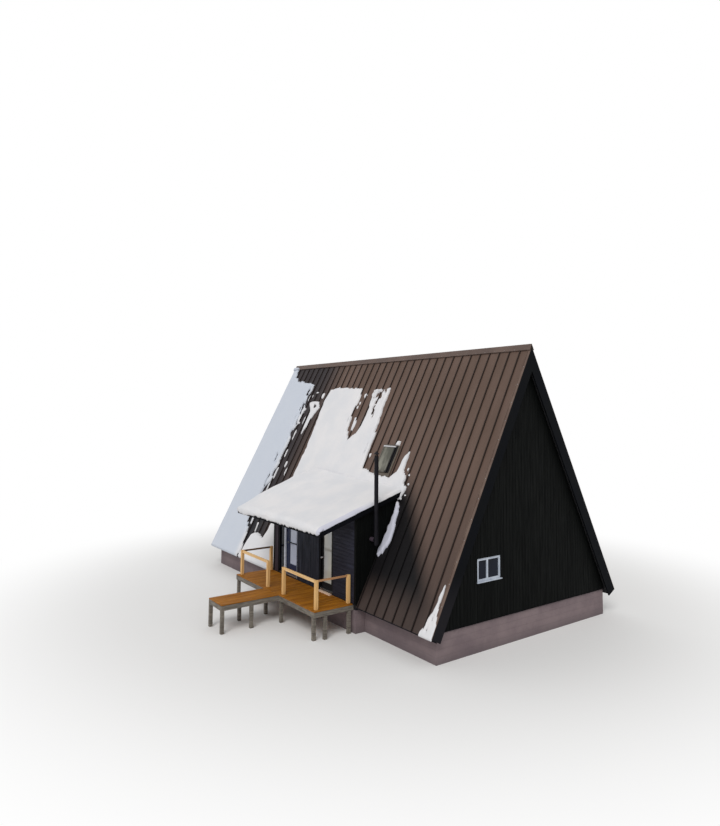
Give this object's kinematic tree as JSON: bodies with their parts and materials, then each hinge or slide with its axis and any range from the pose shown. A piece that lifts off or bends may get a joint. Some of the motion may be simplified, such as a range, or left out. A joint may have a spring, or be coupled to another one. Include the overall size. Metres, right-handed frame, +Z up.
{
  "type": "a-frame cabin",
  "caption": "Timber A-frame cabin with steep standing-seam roofs, a porch dormer over two glazed doors, a deck with a walkway, a stovepipe and a skylight.",
  "frame": {"origin": "the middle of the house, under the ridge, on the ground that the plinth and the legs stand on", "axes": "+X along the ridge to the right gable as seen from the entrance, -Y out of the entrance side, +Z up"},
  "size_m": [14.25, 11.7801, 8.8948],
  "materials": {
    "concrete": "cast, rough",
    "floor_timber": "planed boards",
    "roof_panel": "boarded",
    "roof_steel": "matt brown coating",
    "dark_trim": "matt",
    "dark_cladding": "dark stain",
    "white_frame": "satin white",
    "glass": "clear",
    "dark_frame": "satin",
    "blue_grey_leaf": "satin",
    "dark_handle": "satin black",
    "pale_knob": "brushed",
    "deck_timber": "oiled, orange",
    "frame_timber": "weathered grey",
    "rail_timber": "planed pine",
    "black_pipe": "matt black"
  },
  "bodies": {
    "root": {"plinth_front": "concrete", "plinth_back": "concrete", "plinth_right": "concrete", "plinth_left": "concrete", "plinth_middle": "concrete", "floor": "floor_timber", "roof_panel_front_left": "roof_panel", "roof_panel_front_middle": "roof_panel", "roof_panel_front_right": "roof_panel", "roof_panel_back": "roof_panel", "roof_sheet_front": "roof_steel", "roof_sheet_back": "roof_steel", "ridge_cap": "roof_steel", "barge_boards_right": "dark_trim", "barge_boards_left": "dark_trim", "eave_boards": "dark_trim", "right_gable_wall": "dark_cladding", "left_gable_wall": "dark_cladding", "right_gable_window": "white_frame", "left_gable_window": "white_frame", "window_panes": "glass", "front_wall_left": "dark_cladding", "front_wall_middle": "dark_cladding", "front_wall_right": "dark_cladding", "front_wall_heads": "dark_cladding", "dormer_side_right": "dark_cladding", "dormer_side_left": "dark_cladding", "dormer_roof": "roof_panel", "dormer_fascia": "dark_trim", "door_frame_left": "white_frame", "door_frame_right": "dark_frame", "deck_boards": "deck_timber", "deck_frame": "frame_timber", "deck_posts": "frame_timber", "railing_left": "rail_timber", "railing_right": "rail_timber", "door_step": "rail_timber", "stovepipe": "black_pipe", "skylight_window": "dark_frame"},
    "door_left": {"door_left": "blue_grey_leaf", "door_glass_left": "glass", "door_handle_left": "dark_handle"},
    "door_right": {"door_right": "dark_frame", "door_glass_right": "glass", "door_handle_right": "pale_knob"}
  },
  "joints": [
    {"name": "door_left_hinge", "type": "hinge", "parent": "root", "child": "door_left", "pos_m": [0.159, -4.066, 1.95], "axis": [0, 0, -1], "range_deg": [0, 90]},
    {"name": "door_right_hinge", "type": "hinge", "parent": "root", "child": "door_right", "pos_m": [2.414, -4.066, 1.95], "axis": [0, 0, -1], "range_deg": [0, 90]}
  ]
}
